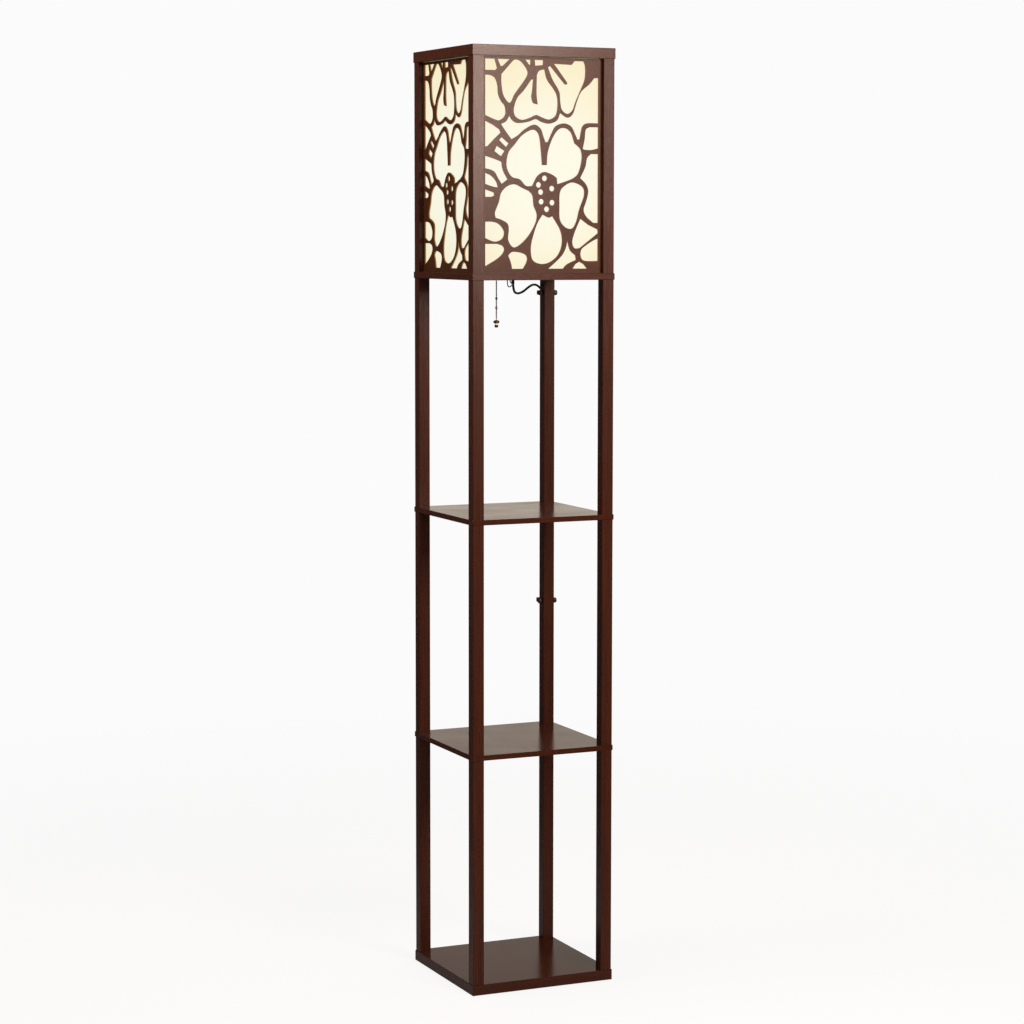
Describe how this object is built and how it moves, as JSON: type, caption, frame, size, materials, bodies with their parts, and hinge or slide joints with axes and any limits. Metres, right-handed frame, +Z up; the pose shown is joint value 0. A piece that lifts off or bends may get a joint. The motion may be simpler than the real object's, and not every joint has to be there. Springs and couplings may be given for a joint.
{
  "type": "shelf floor lamp",
  "caption": "Square floor lamp with open shelves below a fretwork lamp box, worked by a pull chain, with its lead run down one back leg.",
  "frame": {"origin": "middle of the base board's underside, on the floor", "axes": "+Z up, front towards -Y, +X to the right seen from the front"},
  "size_m": [0.2712, 0.3038, 1.6],
  "materials": {
    "dark_wood": "dark red-brown stained wood under a satin lacquer, fine straight grain",
    "lamp_paper": "cream translucent paper, lit from inside",
    "steel_fastener": "zinc-plated steel",
    "zinc_steel": "zinc-plated steel tube and nuts",
    "black_plastic": "black moulded plastic, fine matt texture",
    "brass_contact": "bare rolled brass",
    "frosted_glass": "white frosted bulb glass, lit",
    "cap_aluminium": "pressed aluminium screw cap",
    "chain_metal": "nickel-plated bead chain",
    "pull_bronze": "dark bronze with a cream neck",
    "black_cable": "black round flexible cable sheath"
  },
  "bodies": {
    "frame": {"base_board": "dark_wood", "lower_shelf": "dark_wood", "upper_shelf": "dark_wood", "lamp_floor": "dark_wood", "top_frame": "dark_wood", "lower_leg_front_left": "dark_wood", "middle_leg_front_left": "dark_wood", "upper_leg_front_left": "dark_wood", "lamp_post_front_left": "dark_wood", "lower_leg_front_right": "dark_wood", "middle_leg_front_right": "dark_wood", "upper_leg_front_right": "dark_wood", "lamp_post_front_right": "dark_wood", "lower_leg_back_left": "dark_wood", "middle_leg_back_left": "dark_wood", "upper_leg_back_left": "dark_wood", "lamp_post_back_left": "dark_wood", "lower_leg_back_right": "dark_wood", "middle_leg_back_right": "dark_wood", "upper_leg_back_right": "dark_wood", "lamp_post_back_right": "dark_wood", "fret_panel_front": "dark_wood", "diffuser_front": "lamp_paper", "fret_panel_right": "dark_wood", "diffuser_right": "lamp_paper", "fret_panel_back": "dark_wood", "diffuser_back": "lamp_paper", "fret_panel_left": "dark_wood", "diffuser_left": "lamp_paper", "base_screws": "steel_fastener", "lower_shelf_studs": "steel_fastener", "upper_shelf_studs": "steel_fastener", "lamp_floor_studs": "steel_fastener", "top_screws": "steel_fastener", "riser_tube": "zinc_steel", "riser_nuts": "zinc_steel", "switch_nose": "zinc_steel", "switch_nut": "zinc_steel", "holder_shell": "black_plastic", "switch_body": "black_plastic", "cord_clip_upper": "black_plastic", "cord_clip_lower": "black_plastic", "holder_sleeve": "brass_contact", "holder_contact": "brass_contact", "plug_blades": "brass_contact", "cord_drop": "black_cable", "cord_hank": "black_cable", "cord_tail": "black_cable", "switch_lead_long": "black_cable", "switch_lead_short": "black_cable", "plug_body": "black_cable", "lead_sleeve": "black_cable", "hank_tie": "black_cable"},
    "bulb_seat": {"bulb_contact": "cap_aluminium"},
    "bulb": {"bulb_globe": "frosted_glass", "bulb_screw_cap": "cap_aluminium"},
    "plunger": {"switch_plunger": "chain_metal"},
    "chain_bead": {"chain_top_bead": "chain_metal"},
    "chain": {"pull_chain": "chain_metal", "chain_pull": "pull_bronze"}
  },
  "joints": [
    {"name": "bulb_lift", "type": "slide", "parent": "frame", "child": "bulb_seat", "axis": [0, 0, 1], "range_m": [0, 0.011]},
    {"name": "bulb_turn", "type": "hinge", "parent": "bulb_seat", "child": "bulb", "pos_m": [0, 0, 1.32], "axis": [0, 0, 1], "range_deg": [0, 1080]},
    {"name": "switch_pull", "type": "slide", "parent": "frame", "child": "plunger", "axis": [0, 0, -1], "range_m": [0, 0.008], "stiffness_N_per_m": 600, "springref_m": -0.003},
    {"name": "chain_swing_x", "type": "hinge", "parent": "plunger", "child": "chain_bead", "pos_m": [-0.037, -0.014, 1.2091], "axis": [1, 0, 0], "range_deg": [-25, 25]},
    {"name": "chain_swing_y", "type": "hinge", "parent": "chain_bead", "child": "chain", "pos_m": [-0.037, -0.014, 1.2091], "axis": [0, 1, 0], "range_deg": [-25, 25]}
  ],
  "couplings": [
    {"joint": "bulb_lift", "follows": "bulb_turn", "m_per_rad": 0.0005775}
  ]
}
